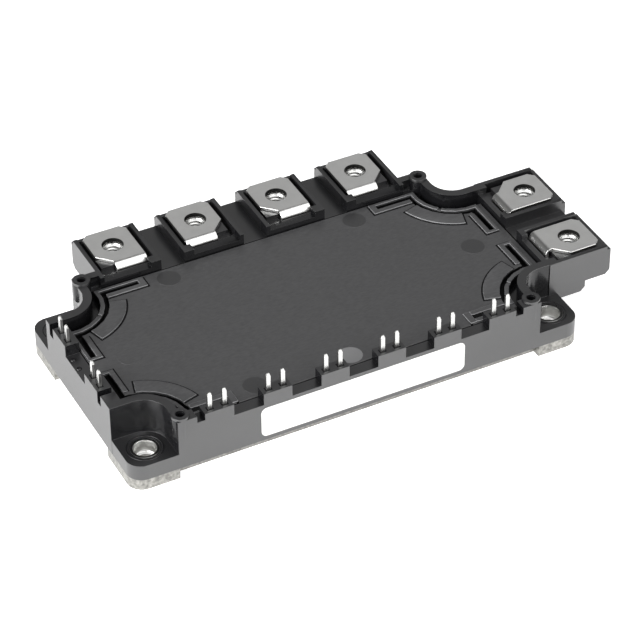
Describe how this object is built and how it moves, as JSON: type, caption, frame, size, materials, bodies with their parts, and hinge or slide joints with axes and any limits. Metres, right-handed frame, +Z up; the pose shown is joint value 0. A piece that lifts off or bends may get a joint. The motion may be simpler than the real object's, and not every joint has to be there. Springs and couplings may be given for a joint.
{
  "type": "igbt module",
  "caption": "Flat power semiconductor module: metal base plate, black moulded case with corner wells, screw terminals on two sides and upright control pins.",
  "frame": {"origin": "middle of the four mounting holes, on the underside of the base plate", "axes": "+X along the long side towards the pair of end terminals, +Y towards the row of four terminals, +Z up out of the base plate"},
  "size_m": [0.1369, 0.0772, 0.0218],
  "materials": {
    "case_plastic": "glass-filled thermoplastic, fine moulded grain",
    "lid_plastic": "thermoplastic, satin",
    "nickel_plate": "nickel plating over copper, matt",
    "bush_metal": "plated, bare",
    "terminal_tin": "matt tin plating over copper",
    "pin_tin": "bright tin plating",
    "nut_steel": "zinc plated",
    "label_paper": "coated paper, matt",
    "sealant": "cured silicone",
    "copper_foil": "bare copper",
    "ceramic_plate": "alumina ceramic, unglazed",
    "silicon": "metallised silicon",
    "bond_ribbon": "rolled, bare",
    "silicone_gel": "soft clear silicone gel",
    "sensor_body": "chip component"
  },
  "bodies": {
    "root": {"adhesive_bead": "sealant", "base_plate": "nickel_plate", "bond_ribbons_1": "bond_ribbon", "bond_ribbons_2": "bond_ribbon", "bond_ribbons_3": "bond_ribbon", "bottom_foil_1": "copper_foil", "bottom_foil_2": "copper_foil", "bottom_foil_3": "copper_foil", "case": "case_plastic", "ceramic_1": "ceramic_plate", "ceramic_2": "ceramic_plate", "ceramic_3": "ceramic_plate", "control_pin_1": "pin_tin", "control_pin_10": "pin_tin", "control_pin_11": "pin_tin", "control_pin_12": "pin_tin", "control_pin_13": "pin_tin", "control_pin_14": "pin_tin", "control_pin_15": "pin_tin", "control_pin_16": "pin_tin", "control_pin_2": "pin_tin", "control_pin_3": "pin_tin", "control_pin_4": "pin_tin", "control_pin_5": "pin_tin", "control_pin_6": "pin_tin", "control_pin_7": "pin_tin", "control_pin_8": "pin_tin", "control_pin_9": "pin_tin", "diode_chip_1": "silicon", "diode_chip_2": "silicon", "diode_chip_3": "silicon", "diode_chip_4": "silicon", "diode_chip_5": "silicon", "diode_chip_6": "silicon", "diode_chip_7": "silicon", "gel_fill": "silicone_gel", "igbt_chip_1": "silicon", "igbt_chip_2": "silicon", "igbt_chip_3": "silicon", "igbt_chip_4": "silicon", "igbt_chip_5": "silicon", "igbt_chip_6": "silicon", "igbt_chip_7": "silicon", "label": "label_paper", "lid": "lid_plastic", "mounting_bushes": "bush_metal", "terminal_b": "terminal_tin", "terminal_n": "terminal_tin", "terminal_nuts": "nut_steel", "terminal_p": "terminal_tin", "terminal_u": "terminal_tin", "terminal_v": "terminal_tin", "terminal_w": "terminal_tin", "thermistor": "sensor_body", "top_foil_1": "copper_foil", "top_foil_2": "copper_foil", "top_foil_3": "copper_foil"}
  },
  "joints": []
}
